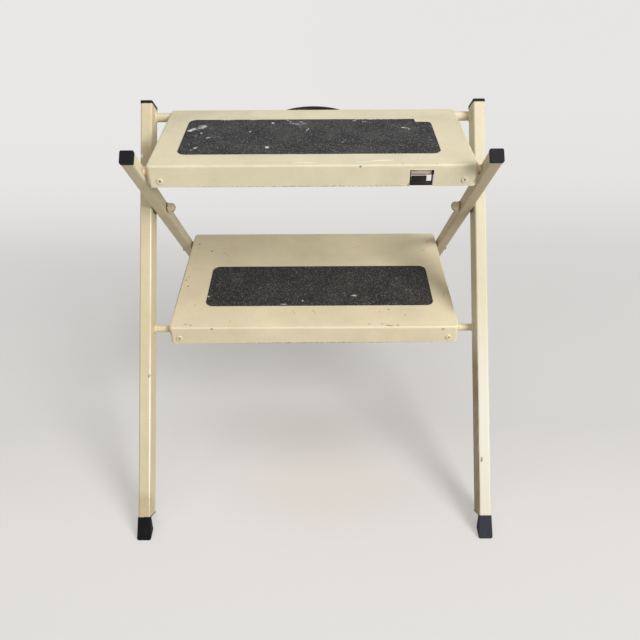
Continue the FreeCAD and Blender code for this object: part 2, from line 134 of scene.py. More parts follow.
def new_group(name, inputs, outputs):
    tree = bpy.data.node_groups.new(name, "ShaderNodeTree")
    for label, kind, value in inputs:
        socket = tree.interface.new_socket(label, in_out="INPUT", socket_type=kind)
        if value is not None:
            socket.default_value = value
    for label, kind in outputs:
        tree.interface.new_socket(label, in_out="OUTPUT", socket_type=kind)
    sheet = Sheet(tree)
    return tree, sheet, sheet.node("NodeGroupInput").outputs, sheet.node("NodeGroupOutput").inputs


COLOUR = "NodeSocketColor"
NUMBER = "NodeSocketFloat"
VECTOR = "NodeSocketVector"

# Worn corners: 1 on sharp convex edges, broken up by a noise.
edge_wear, s, given, out = new_group(
    "worn_corners",
    [
        ("Place", VECTOR, None),
        ("Width", NUMBER, 0.0015),
        ("Breaks", NUMBER, 160.0),
        ("Amount", NUMBER, 0.5),
    ],
    [("Edge", NUMBER), ("Bare", NUMBER)],
)
bevel = s.node("ShaderNodeBevel", samples=6)
s.feed(bevel.inputs["Radius"], given["Width"])
face = s.node("ShaderNodeNewGeometry").outputs["Normal"]
turn = s.vector("DOT_PRODUCT", bevel.outputs["Normal"], face)
edge = s.step(turn, 0.995, 0.86)
breaks = s.noise(given["Place"], given["Breaks"], 4.0, 0.62).outputs["Fac"]
wander = s.noise(given["Place"], 22.0, 2.0).outputs["Fac"]
breaks = s.math("ADD", breaks, s.math("MULTIPLY", s.math("SUBTRACT", wander, 0.5), 0.5))
limit = s.math("SUBTRACT", 0.86, s.math("MULTIPLY", given["Amount"], 0.4))
s.feed(out["Edge"], edge)
s.feed(out["Bare"], s.math("MULTIPLY", edge, s.step(breaks, limit, s.math("ADD", limit, 0.03))))

# Old enamel: slow fading, fine orange peel, hairline scratches and small chips
# down to rusty steel, more of them along the corners. It can also paint a pale
# highlight along the corners.
old_enamel, s, given, out = new_group(
    "old_enamel",
    [
        ("Enamel", COLOUR, (0.7, 0.62, 0.44, 1)),
        ("Stain", COLOUR, (0.42, 0.31, 0.17, 1)),
        ("Fading", NUMBER, 0.5),
        ("Chipping", NUMBER, 0.5),
        ("Grime", NUMBER, 0.3),
        ("Rim", NUMBER, 0.0),
        ("Width", NUMBER, 0.0015),
    ],
    [("Colour", COLOUR), ("Roughness", NUMBER), ("Height", NUMBER), ("Bare", NUMBER)],
)
where = s.place()
slow = s.noise(where, 9.0, 3.0, 0.55).outputs["Fac"]
cloud = s.noise(where, 34.0, 4.0, 0.6).outputs["Fac"]
fine = s.noise(where, 420.0, 2.0, 0.5).outputs["Fac"]
peel = s.noise(where, 1500.0, 1.0).outputs["Fac"]
tone = s.math("ADD", s.math("MULTIPLY", slow, 0.6), s.math("MULTIPLY", cloud, 0.4))
tone = s.math("MULTIPLY", s.math("SUBTRACT", tone, 0.5), given["Fading"])
bright = s.math("ADD", 1.0, s.math("MULTIPLY", tone, 0.9))
bright = s.math("ADD", bright, s.math("MULTIPLY", s.math("SUBTRACT", fine, 0.5), 0.08))
grey = s.node("ShaderNodeCombineColor")
for name in ("Red", "Green", "Blue"):
    s.feed(grey.inputs[name], bright)
faded = s.mix(1.0, given["Enamel"], grey.outputs["Color"], "MULTIPLY")
yellow = s.step(s.noise(where, 17.0, 3.0, 0.65).outputs["Fac"], 0.52, 0.78)
yellow = s.math("MULTIPLY", yellow, s.math("MULTIPLY", given["Grime"], 0.42))
faded = s.mix(yellow, faded, given["Stain"])
worn = s.group(edge_wear, Place=where, Width=given["Width"], Amount=given["Chipping"])
rub = s.math("MULTIPLY", worn["Edge"], s.step(cloud, 0.42, 0.62))
faded = s.mix(s.math("MULTIPLY", rub, s.math("MULTIPLY", given["Grime"], 0.55)), faded, given["Stain"])
# Painted highlight: the corners are painted pale, as light catching them.
rim = s.math("MULTIPLY", worn["Edge"], s.step(cloud, 0.60, 0.46))
faded = s.mix(s.math("MULTIPLY", rim, given["Rim"]), faded, linear(252, 247, 224))
specks = s.node("ShaderNodeTexVoronoi", feature="F1")
s.feed(specks.inputs["Vector"], where)
specks.inputs["Scale"].default_value = 85.0
drawn = s.node("ShaderNodeSeparateColor")
s.feed(drawn.inputs["Color"], specks.outputs["Color"])
bar = s.math("SUBTRACT", 1.0, s.math("MULTIPLY", given["Chipping"], 0.06))
few = s.math("GREATER_THAN", drawn.outputs["Red"], bar)
size = s.math("ADD", s.math("MULTIPLY", drawn.outputs["Green"], 0.10), 0.02)
speck = s.math("MULTIPLY", few, s.math("LESS_THAN", specks.outputs["Distance"], size))
bare = s.math("MAXIMUM", worn["Bare"], speck)
steel = s.mix(fine, linear(92, 62, 42), linear(58, 42, 34))
colour = s.mix(bare, faded, steel)
slant = s.node("ShaderNodeVectorRotate", rotation_type="EULER_XYZ")
s.feed(slant.inputs["Vector"], where)
slant.inputs["Rotation"].default_value = (0.5, 0.35, 0.6)
streaks = s.vector("MULTIPLY", slant.outputs["Vector"], (30.0, 900.0, 900.0))
hair = s.step(s.noise(streaks, 1.0, 1.0).outputs["Fac"], 0.70, 0.76)
hair = s.math("MULTIPLY", hair, s.step(cloud, 0.48, 0.60))
colour = s.mix(s.math("MULTIPLY", hair, 0.30), colour, given["Stain"])
s.feed(out["Colour"], colour)
rough = s.math("ADD", 0.48, s.math("MULTIPLY", s.math("SUBTRACT", cloud, 0.5), 0.3))
s.feed(out["Roughness"], s.math("ADD", rough, s.math("MULTIPLY", bare, 0.35), clamp=True))
height = s.math("ADD", s.math("MULTIPLY", peel, 0.10), s.math("MULTIPLY", fine, 0.16))
height = s.math("SUBTRACT", height, s.math("MULTIPLY", bare, 0.9))
s.feed(out["Height"], s.math("SUBTRACT", height, s.math("MULTIPLY", hair, 0.3)))
s.feed(out["Bare"], bare)

# A single mark: 1 inside an oval of the given size round a centre, turned
# about the upright axis.
one_mark, s, given, out = new_group(
    "one_mark",
    [
        ("Place", VECTOR, None),
        ("Centre", VECTOR, (0, 0, 0)),
        ("Size", VECTOR, (0.01, 0.01, 0.01)),
        ("Turn", NUMBER, 0.0),
        ("Soft", NUMBER, 0.4),
    ],
    [("Mark", NUMBER)],
)
away = s.node("ShaderNodeVectorRotate", rotation_type="Z_AXIS")
s.feed(away.inputs["Vector"], s.vector("SUBTRACT", given["Place"], given["Centre"]))
s.feed(away.inputs["Angle"], s.math("MULTIPLY", given["Turn"], -1.0))
reach = s.vector("LENGTH", s.vector("DIVIDE", away.outputs["Vector"], given["Size"]))
s.feed(out["Mark"], s.step(reach, s.math("SUBTRACT", 1.0, given["Soft"]), 1.0, 1.0, 0.0))


def new_material(name):
    material = bpy.data.materials.new(name)
    material.use_nodes = True
    sheet = Sheet(material.node_tree)
    shader = material.node_tree.nodes["Principled BSDF"]
    return material, sheet, shader


def marks(sheet, where, places, soft=0.4):
    """The strongest of several marks, each (centre, size) or (centre, size, turn)."""
    total = None
    for centre, size, *turn in places:
        angle = turn[0] if turn else 0.0
        made = sheet.group(one_mark, Place=where, Centre=centre, Size=size, Turn=angle, Soft=soft)
        mark = made["Mark"]
        total = mark if total is None else sheet.math("MAXIMUM", total, mark)
    return total


def ragged(sheet, where, scale, amount):
    """The place, pushed about by a noise so that marks get uneven rims."""
    push = sheet.noise(where, scale, 3.0, 0.6).outputs["Color"]
    push = sheet.vector("SUBTRACT", push, (0.5, 0.5, 0.5))
    return sheet.vector("ADD", where, sheet.vector("MULTIPLY", push, (amount, amount, amount)))


def cream_enamel(
    name, enamel, fading=0.35, chipping=0.5, grime=0.35, rim=0.0, width=0.0015,
    paler_greyer_patches=(), dirt_and_shade_marks=(), dirt_and_shade_strength=1.0, rusty=(), scratched=(), dark=(), pale=(), painted_shade_spots=(),
):
    material, sheet, shader = new_material(name)
    coat = sheet.group(
        old_enamel, Enamel=enamel, Fading=fading, Chipping=chipping, Grime=grime, Rim=rim, Width=width
    )
    colour = coat["Colour"]
    height = coat["Height"]
    where = sheet.place()
    uneven = ragged(sheet, where, 260.0, 0.006)
    crumbly = ragged(sheet, where, 700.0, 0.0018)
    grain = sheet.noise(where, 700.0, 3.0, 0.7).outputs["Fac"]
    # Patches painted paler and greyer.
    if paler_greyer_patches:
        colour = sheet.mix(marks(sheet, where, paler_greyer_patches, 0.9), colour, linear(214, 209, 194))
    # Brown streaky marks: dirt on some pieces, painted shade on the inner face of the right long leg.
    if dirt_and_shade_marks:
        dirt_and_shade = marks(sheet, where, dirt_and_shade_marks, 0.5)
        drawn_out = sheet.vector("MULTIPLY", where, (90.0, 90.0, 30.0))
        streaky = sheet.noise(drawn_out, 1.0, 4.0, 0.65).outputs["Fac"]
        dirt_and_shade = sheet.math("MULTIPLY", dirt_and_shade, sheet.step(streaky, 0.30, 0.62, dirt_and_shade_strength * 0.75, dirt_and_shade_strength))
        colour = sheet.mix(dirt_and_shade, colour, sheet.mix(1.0, colour, linear(188, 158, 126), "MULTIPLY"))
    if rusty:
        rust = marks(sheet, uneven, rusty, 0.7)
        rust = sheet.math("MULTIPLY", rust, sheet.step(grain, 0.36, 0.62, 0.25, 1.0))
        colour = sheet.mix(rust, colour, sheet.mix(grain, linear(128, 78, 44), linear(70, 44, 30)))
        height = sheet.math("SUBTRACT", height, sheet.math("MULTIPLY", rust, 0.4))
    if scratched:
        line = marks(sheet, ragged(sheet, where, 500.0, 0.0004), scratched, 0.5)
        colour = sheet.mix(sheet.math("MULTIPLY", line, 0.6), colour, linear(104, 80, 56))
        height = sheet.math("SUBTRACT", height, sheet.math("MULTIPLY", line, 0.5))
    # Dark marks: chips and specks, and on the pivot knobs a painted shadow.
    if dark:
        dark_chips_and_shade = marks(sheet, crumbly, dark, 0.35)
        colour = sheet.mix(sheet.math("MULTIPLY", dark_chips_and_shade, 0.8), colour, linear(60, 46, 38))
        height = sheet.math("SUBTRACT", height, sheet.math("MULTIPLY", dark_chips_and_shade, 0.8))
    # Pale marks: specks of pale paint, and elsewhere painted highlights and painted light.
    if pale:
        pale_specks_and_highlights = marks(sheet, crumbly, pale, 0.35)
        colour = sheet.mix(sheet.math("MULTIPLY", pale_specks_and_highlights, 0.8), colour, linear(238, 234, 222))
    # Dark spots of painted shade: in holes, and where a knob meets its leg.
    if painted_shade_spots:
        hole_shade = marks(sheet, where, painted_shade_spots, 0.2)
        colour = sheet.mix(hole_shade, colour, linear(24, 19, 16))
        height = sheet.math("SUBTRACT", height, hole_shade)
    sheet.feed(shader.inputs["Base Color"], colour)
    sheet.feed(shader.inputs["Roughness"], coat["Roughness"])
    sheet.feed(shader.inputs["Normal"], sheet.bump(height, 0.5, 0.0004))
    shader.inputs["IOR"].default_value = 1.5
    shader.inputs["Specular IOR Level"].default_value = 0.32
    return material


def dress(nodes, material):
    for name in nodes:
        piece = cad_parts[name]
        for slot in piece.material_slots:
            slot.material = material
        if not piece.material_slots:
            piece.data.materials.append(material)


dress(
    ["long_leg_left"],
    cream_enamel(
        "left_long_leg_enamel", linear(209, 195, 162), 0.6, 0.95, 0.6, rim=0.6, dirt_and_shade_strength=0.35,
        dirt_and_shade_marks=[
            ((-0.230, -0.280, 0.030), (0.03, 0.030, 0.030)),
            ((-0.232, 0.03, 0.39), (0.012, 0.04, 0.04)),
        ],
        dark=[((-0.2238, -0.1597, 0.167), (0.0019, 0.0035, 0.0038))],
        pale=[
            ((-0.236, 0.04, 0.395), (0.003, 0.006, 0.003)),
            # The next two long marks paint the inner face of the left leg paler, painted light.
            ((-0.2232, -0.200, 0.120), (0.0010, 0.130, 0.150)),
            ((-0.2232, -0.030, 0.290), (0.0008, 0.090, 0.110)),
        ],
    ),
)
dress(
    ["long_leg_right"],
    cream_enamel(
        "right_long_leg_enamel", linear(205, 196, 168), 0.45, 0.98, 0.5, rim=0.4,
        # The lower part of the leg is painted paler and greyer.
        paler_greyer_patches=[((0.230, -0.200, 0.090), (0.3, 0.20, 0.22))],
        dirt_and_shade_marks=[
            # These two marks paint the lower inner face of the right leg brown, painted shade.
            ((0.2215, -0.175, 0.125), (0.0022, 0.11, 0.12)),
            ((0.2215, -0.245, 0.050), (0.0022, 0.10, 0.10)),
        ],
        rusty=[((0.226, -0.235, 0.080), (0.0025, 0.005, 0.006))],
    ),
)


# LONG LEG CAPS
# Black moulded plugs pushed into the sawn tops of the long legs. A thin lip
# covers the end of the tube, scuffed grey on its corners.
def black_moulding(
    name, colour, scuff, roughness, grain_scale=900.0, grain_depth=0.0003, scuffs=0.5
):
    material, sheet, shader = new_material(name)
    where = sheet.place()
    cloud = sheet.noise(where, 60.0, 4.0, 0.6).outputs["Fac"]
    grain = sheet.noise(where, grain_scale, 3.0, 0.6).outputs["Fac"]
    worn = sheet.group(edge_wear, Place=where, Width=0.0012, Breaks=220.0, Amount=0.9)
    faces = sheet.step(cloud, 0.52, 0.72, 0.0, 0.5)
    rub = sheet.math("ADD", sheet.math("MULTIPLY", worn["Edge"], 0.45), faces)
    rub = sheet.math("MULTIPLY", rub, scuffs, clamp=True)
    sheet.feed(shader.inputs["Base Color"], sheet.mix(rub, colour, scuff))
    rough = sheet.math("ADD", roughness, sheet.math("MULTIPLY", cloud, 0.2))
    sheet.feed(shader.inputs["Roughness"], rough)
    sheet.feed(shader.inputs["Normal"], sheet.bump(grain, 0.4, grain_depth))
    shader.inputs["Specular IOR Level"].default_value = 0.22
    return material


dress(
    ["long_leg_cap_left", "long_leg_cap_right"],
    black_moulding("long_leg_cap_plastic", linear(16, 18, 18), linear(74, 74, 74), 0.40),
)


# FRONT FEET
# Black rubber shoes pushed up into the tube ends. Their soles are cut flat to
# the floor, and the right one is greyed by dust.
dress(
    ["front_foot_left"],
    black_moulding("left_foot_rubber", linear(9, 8, 9), linear(52, 48, 48), 0.55, 500.0, 0.0005, 0.30),
)
dress(
    ["front_foot_right"],
    black_moulding(
        "right_foot_rubber", linear(46, 48, 54), linear(112, 112, 116), 0.62, 500.0, 0.0005, 0.8
    ),
)


# REAR CROSSBAR
# A round steel tube welded between the long legs. The top step's back edge
# turns on it.
dress(
    ["rear_crossbar"],
    cream_enamel("rear_crossbar_enamel", linear(214, 203, 172), 0.4, 0.7, 0.7, width=0.001),
)


# STEP PINS
# Short round bars welded to the inner faces of the long legs, rubbed where the
# lower step drops over them.
dress(
    ["step_pin_left", "step_pin_right"],
    cream_enamel(
        "step_pin_enamel", linear(220, 206, 170), 0.4, 0.9, 0.9, width=0.001,
        rusty=[
            ((-0.2045, -0.1035, 0.2075), (0.0065, 0.005, 0.0025)),
            ((-0.200, -0.100, 0.201), (0.004, 0.008, 0.008)),
            ((0.200, -0.100, 0.201), (0.004, 0.008, 0.008)),
        ],
    ),
)


# REAR LEGS
# Square steel tubes inside the long legs, in the same enamel. The right one is
# painted darker than the left, painted shade. Both have rubbed spots where the
# front rod meets them.
dress(
    ["rear_leg_left"],
    cream_enamel(
        "left_rear_leg_enamel", linear(216, 205, 174), 0.45, 0.65, 0.55,
        rusty=[((-0.212, -0.078, 0.430), (0.012, 0.010, 0.008))],
    ),
)
# The right rear leg gets a darker copy of the enamel, painted shade.
dress(
    ["rear_leg_right"],
    cream_enamel(
        "right_rear_leg_enamel", linear(203, 187, 156), 0.45, 0.75, 0.7,
        rusty=[((0.212, -0.078, 0.430), (0.012, 0.010, 0.008))],
    ),
)


# REAR LEG CAPS AND FEET
# Black plugs in the tops of the rear legs and rubber shoes at their lower
# ends, the same kind as on the long legs.
dress(
    ["rear_leg_cap_left", "rear_leg_cap_right"],
    black_moulding("rear_leg_cap_plastic", linear(18, 18, 24), linear(70, 70, 76), 0.38),
)
dress(
    ["rear_foot_left", "rear_foot_right"],
    black_moulding("rear_foot_rubber", linear(36, 35, 36), linear(92, 88, 84), 0.58, 500.0, 0.0005, 0.6),
)


# FRONT CROSS ROD
# A thin steel rod welded between the rear legs. The top step hooks over it,
# and its enamel has worn through to rust.
dress(
    ["front_cross_rod"],
    cream_enamel(
        "front_rod_enamel", linear(224, 200, 170), 0.9, 0.9, 1.0, width=0.001,
        rusty=[
            # A dark brown patch on the rod at the upper left of the latch cut-out.
            ((0.1232, -0.0735, 0.4275), (0.0046, 0.007, 0.0030)),
            ((0.203, -0.070, 0.4215), (0.0035, 0.010, 0.007)),
            ((-0.203, -0.070, 0.4215), (0.0035, 0.010, 0.007)),
        ],
    ),
)


# CROSSING PIVOTS
# Steel pins through both tubes on each side, with a round painted knob inside
# whose centre is open, and a zinc plated washer between the tubes. The dark of
# the knob's centre, a dark ring where each knob meets its leg and a dark patch
# at the lower front of its end are painted shade.
def zinc_plate(name, colour=linear(150, 146, 138), roughness=0.38):
    material, sheet, shader = new_material(name)
    where = sheet.place()
    spangle = sheet.noise(where, 240.0, 3.0, 0.6).outputs["Fac"]
    stain = sheet.step(sheet.noise(where, 70.0, 4.0, 0.65).outputs["Fac"], 0.48, 0.72)
    tone = sheet.mix(spangle, colour, linear(112, 108, 102))
    tone = sheet.mix(sheet.math("MULTIPLY", stain, 0.6), tone, linear(98, 70, 48))
    rough = sheet.math("ADD", roughness, sheet.math("MULTIPLY", stain, 0.3))
    sheet.feed(shader.inputs["Base Color"], tone)
    sheet.feed(shader.inputs["Roughness"], rough)
    shader.inputs["Metallic"].default_value = 0.9
    sheet.feed(shader.inputs["Normal"], sheet.bump(spangle, 0.3, 0.0002))
    return material


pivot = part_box("pivot_washers")
pivot_y = (pivot[0][1] + pivot[1][1]) / 2
pivot_z = (pivot[0][2] + pivot[1][2]) / 2
KNOB_HOLE = 0.0021
KNOB_ROOT = 0.2037
KNOB_END = 0.1955
dress(["cross_pivot_pins", "pivot_washers"], zinc_plate("pivot_zinc"))
dress(
    ["pivot_knobs"],
    cream_enamel(
        "pivot_knob_enamel", linear(222, 208, 174), 0.3, 0.9, 0.9, width=0.001,
        # The centre hole and the ring where each knob meets its leg are painted shade.
        painted_shade_spots=[
            ((0.0, pivot_y, pivot_z), (1.0, KNOB_HOLE, KNOB_HOLE)),
            ((KNOB_ROOT, pivot_y, pivot_z), (0.0009, 0.02, 0.02)),
            ((-KNOB_ROOT, pivot_y, pivot_z), (0.0009, 0.02, 0.02)),
        ],
        # A dark patch at the lower front of each knob's end is a painted shadow.
        dark=[
            ((KNOB_END, pivot_y - 0.004, pivot_z - 0.004), (0.0028, 0.0028, 0.0022)),
            ((-KNOB_END, pivot_y - 0.004, pivot_z - 0.004), (0.0028, 0.0028, 0.0022)),
        ],
    ),
)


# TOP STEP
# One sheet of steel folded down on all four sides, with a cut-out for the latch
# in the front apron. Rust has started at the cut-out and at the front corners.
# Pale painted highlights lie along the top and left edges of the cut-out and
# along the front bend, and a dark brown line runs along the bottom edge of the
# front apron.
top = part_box("top_step_tray")
top_front = top[0][1]
top_level = top[1][2]
dress(
    ["top_step_tray"],
    cream_enamel(
        "top_step_enamel", linear(216, 206, 176), 0.75, 0.42, 0.4,
        rusty=[
            ((0.1175, top_front, top_level - 0.0262), (0.0022, 0.004, 0.0022)),
            ((-0.199, top_front + 0.002, top_level - 0.026), (0.004, 0.004, 0.004)),
            ((0.199, top_front + 0.004, top_level - 0.022), (0.004, 0.01, 0.008)),
            # A dark brown line along the bottom edge of the front apron.
            ((0.0, top_front, top_level - 0.0279), (0.20, 0.004, 0.0007)),
        ],
        dark=[
            ((0.0577, top_front, top_level - 0.002), (0.0014, 0.002, 0.0014)),
            ((0.1085, -0.074, top_level), (0.0010, 0.0010, 0.002)),
            ((0.150, -0.076, top_level), (0.0008, 0.0008, 0.002)),
            ((0.200, 0.052, top_level - 0.001), (0.0016, 0.017, 0.003)),
        ],
        pale=[
            # These pale marks are painted highlights: along the cut-out's top and left edges, then on
            # the front bend.
            ((0.132, top_front, top_level - 0.0060), (0.0145, 0.003, 0.0007)),
            ((0.1178, top_front, top_level - 0.0165), (0.0006, 0.003, 0.0090)),
            ((0.085, -0.066, top_level), (0.017, 0.0020, 0.002), 0.05),
            ((0.062, -0.070, top_level), (0.012, 0.0012, 0.002), -0.04),
            ((-0.010, -0.071, top_level), (0.020, 0.0012, 0.002), 0.03),
        ],
    ),
)
dress(
    ["top_step_angles"],
    cream_enamel("top_angle_enamel", linear(196, 184, 152), 0.5, 0.8, 0.8),
)


# TOP STEP RIVETS
# Blind rivets through the front corners, painted over with the step. The hole
# where the stem broke off is a dark spot of painted shade.
RIVET_HEAD = 0.004
STEM_HOLE = 0.0013


def rivet_finish(name, node):
    low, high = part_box(node)
    x = high[0] - RIVET_HEAD
    z = (low[2] + high[2]) / 2
    # The stem hole is painted as a dark spot of shade.
    hole_shade = (STEM_HOLE, 0.01, STEM_HOLE)
    material = cream_enamel(
        name, linear(222, 212, 184), 0.3, 1.0, 1.0, width=0.0008,
        painted_shade_spots=[((x, low[1], z), hole_shade), ((-x, low[1], z), hole_shade)],
    )
    dress([node], material)


rivet_finish("top_rivet_enamel", "top_step_rivets")


# TOP GRIP PAD
# A stuck-on sheet of black mineral grit with round corners. Its back right
# corner is torn away, and it is splashed and scuffed with white paint.
PAD_CORNER = 0.011
PAD_EDGE = 0.0003
CORNER_STEPS = 10


def grip_outline(low, high):
    radius = PAD_CORNER
    points = []
    corners = (
        (high[0] - radius, high[1] - radius, 0),
        (low[0] + radius, high[1] - radius, 90),
        (low[0] + radius, low[1] + radius, 180),
        (high[0] - radius, low[1] + radius, 270),
    )
    for x, y, start in corners:
        for i in range(CORNER_STEPS + 1):
            angle = math.radians(start + 90 * i / CORNER_STEPS)
            points.append((x + radius * math.cos(angle), y + radius * math.sin(angle)))
    return points


def grip_sheet(name, node, outline, material, body):
    low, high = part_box(node)
    mesh = bpy.data.meshes.new(name)
    build = bmesh.new()
    rim = [build.verts.new((x, y, low[2])) for x, y in outline]
    floor_face = build.faces.new(rim)
    made = bmesh.ops.extrude_face_region(build, geom=[floor_face])
    lifted = [v for v in made["geom"] if isinstance(v, bmesh.types.BMVert)]
    for vert in lifted:
        vert.co.z = high[2]
    upper = [f for f in build.faces if all(v.co.z > high[2] - 1e-6 for v in f.verts)]
    edges = [e for f in upper for e in f.edges]
    bmesh.ops.bevel(build, geom=edges, offset=PAD_EDGE, segments=2, affect="EDGES")
    bmesh.ops.recalc_face_normals(build, faces=build.faces)
    build.to_mesh(mesh)
    build.free()
    piece = bpy.data.objects.new(name, mesh)
    bpy.context.scene.collection.objects.link(piece)
    mesh.materials.append(material)
    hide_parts(node)
    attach(piece, body)
    return piece


def on_sheet(level, rows, depth=0.01):
    """Marks on a level sheet, from rows of (x, y, half length, half width[, turn])."""
    return [((x, y, level), (long, wide, depth), *turn) for x, y, long, wide, *turn in rows]


def grit(name, tone, splashes, faint, dusting):
    material, sheet, shader = new_material(name)
    where = sheet.place()
    grains = sheet.node("ShaderNodeTexVoronoi", feature="F1")
    sheet.feed(grains.inputs["Vector"], where)
    grains.inputs["Scale"].default_value = 1150.0
    each = sheet.node("ShaderNodeSeparateColor")
    sheet.feed(each.inputs["Color"], grains.outputs["Color"])
    coarse = sheet.noise(where, 520.0, 3.0, 0.65).outputs["Fac"]
    cloud = sheet.noise(where, 26.0, 4.0, 0.6).outputs["Fac"]
    lit = sheet.step(each.outputs["Red"], 0.80, 1.0)
    shaded = sheet.step(each.outputs["Green"], 0.30, 0.0, 0.0, 0.55)
    colour = sheet.mix(shaded, tone, linear(20, 20, 21))
    colour = sheet.mix(sheet.math("MULTIPLY", lit, 0.75), colour, linear(142, 140, 136))
    colour = sheet.mix(sheet.step(cloud, 0.40, 0.72, 0.0, dusting), colour, linear(112, 110, 106))
    brown = sheet.step(sheet.noise(where, 60.0, 3.0, 0.7).outputs["Fac"], 0.58, 0.75)
    brown = sheet.math("MULTIPLY", brown, sheet.math("MULTIPLY", lit, 0.5))
    colour = sheet.mix(brown, colour, linear(120, 98, 76))
    uneven = ragged(sheet, where, 260.0, 0.005)
    broken = sheet.step(coarse, 0.38, 0.55)
    if faint:
        slant = sheet.node("ShaderNodeVectorRotate", rotation_type="Z_AXIS")
        sheet.feed(slant.inputs["Vector"], where)
        slant.inputs["Angle"].default_value = 0.5
        smear = sheet.vector("MULTIPLY", slant.outputs["Vector"], (70.0, 420.0, 70.0))
        smear = sheet.step(sheet.noise(smear, 1.0, 3.0, 0.6).outputs["Fac"], 0.46, 0.66)
        haze = sheet.math("MULTIPLY", marks(sheet, uneven, faint, 0.9), smear)
        haze = sheet.math("MULTIPLY", haze, sheet.step(coarse, 0.34, 0.62))
        colour = sheet.mix(sheet.math("MULTIPLY", haze, 0.55), colour, linear(166, 165, 168))
    white = sheet.math("MULTIPLY", marks(sheet, uneven, splashes, 0.6), broken)
    colour = sheet.mix(white, colour, linear(226, 228, 226))
    sheet.feed(shader.inputs["Base Color"], colour)
    rough = sheet.math("SUBTRACT", 0.86, sheet.math("MULTIPLY", lit, 0.25))
    sheet.feed(shader.inputs["Roughness"], rough)
    height = sheet.math("ADD", sheet.math("SUBTRACT", 1.0, grains.outputs["Distance"]), coarse)
    sheet.feed(shader.inputs["Normal"], sheet.bump(height, 0.7, 0.0006))
    return material


low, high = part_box("top_grip_pad")
TEAR_START = 0.1385
torn = [(TEAR_START, high[1])]
torn += grip_outline(low, high)[CORNER_STEPS + 1:]
torn += [(high[0], 0.047), (high[0] - 0.0012, 0.0515), (high[0] - 0.0042, 0.0534)]
torn += [(0.1545, 0.0537), (0.1505, 0.0531), (0.1468, 0.0540), (0.1425, 0.0534)]
torn += [(0.1392, 0.0539), (0.1388, 0.0585)]
top_z = high[2]
grip_sheet(
    "top_grip_sheet",
    "top_grip_pad",
    torn,
    grit(
        "top_grit",
        linear(37, 37, 39),
        splashes=on_sheet(top_z, [
            (-0.1474, 0.0385, 0.0086, 0.0062, 0.85),
            (-0.1600, 0.0290, 0.0090, 0.0050, 0.75),
            (-0.1456, 0.0185, 0.0024, 0.0020),
            (-0.1520, 0.0090, 0.0016, 0.0012),
            (-0.1351, 0.0032, 0.0046, 0.0014, 0.5),
            (-0.1470, -0.0290, 0.0042, 0.0022, 0.9),
            (-0.1520, -0.0360, 0.0040, 0.0010, 0.9),
            (-0.0824, 0.0216, 0.0018, 0.0020),
            (-0.0534, 0.0505, 0.0022, 0.0032, 0.5),
            (-0.0570, -0.0275, 0.0034, 0.0040),
            (-0.0323, 0.0580, 0.0090, 0.0009, -0.95),
            (-0.0140, 0.0528, 0.0090, 0.0009, -0.90),
            (-0.0240, 0.0480, 0.0100, 0.0008, -0.30),
            (-0.0064, 0.0286, 0.0062, 0.0009, 1.25),
            (0.0570, 0.0577, 0.0026, 0.0014),
            (0.1220, 0.0330, 0.0056, 0.0016, -0.45),
            (0.1282, 0.0285, 0.0024, 0.0016, -0.45),
            (0.0410, -0.0088, 0.0090, 0.0007, 1.05),
            (0.0700, 0.0533, 0.0030, 0.0012),
            (0.0880, 0.0634, 0.0500, 0.0010),
            (-0.1160, 0.0634, 0.0120, 0.0014),
            (-0.0800, 0.0636, 0.0100, 0.0010),
        ]),
        faint=on_sheet(top_z, [
            (-0.1530, 0.0330, 0.0150, 0.0100, 0.7),
            (-0.0180, 0.0500, 0.0300, 0.0110, -0.3),
            (-0.0165, 0.0394, 0.0060, 0.0070),
            (-0.0587, -0.0190, 0.0070, 0.0110),
            (0.1080, 0.0411, 0.0120, 0.0060, -0.3),
            (0.1230, 0.0350, 0.0200, 0.0050, -0.2),
            (0.1500, -0.0030, 0.0070, 0.0100),
            (-0.1290, 0.0100, 0.0140, 0.0180, 0.6),
            (0.0700, 0.0540, 0.0240, 0.0050),
        ]),
        dusting=0.20,
    ),
    "top_step",
)


# CARRYING HANDLE
# A bow of black plastic behind the top step, held to its back apron by two
# slotted screws and nuts.
dress(["carry_handle"], black_moulding("handle_plastic", linear(26, 26, 27), linear(70, 68, 66), 0.32))
dress(["handle_screws", "handle_nuts"], zinc_plate("handle_screw_zinc"))


# LATCH
# A black plastic finger piece that hangs on a pin in a small steel bracket and
# is closed by a coil spring. It is dull from handling and brown with rust dust.
dress(["latch"], black_moulding("latch_plastic", linear(30, 28, 28), linear(96, 76, 60), 0.42))
dress(["latch_pin", "latch_spring"], zinc_plate("latch_pin_zinc"))
dress(
    ["latch_bracket"],
    cream_enamel(
        "latch_bracket_enamel", linear(190, 176, 142), 0.6, 1.0, 1.4,
        rusty=[((0.132, -0.07, 0.431), (0.02, 0.012, 0.004))],
    ),
)


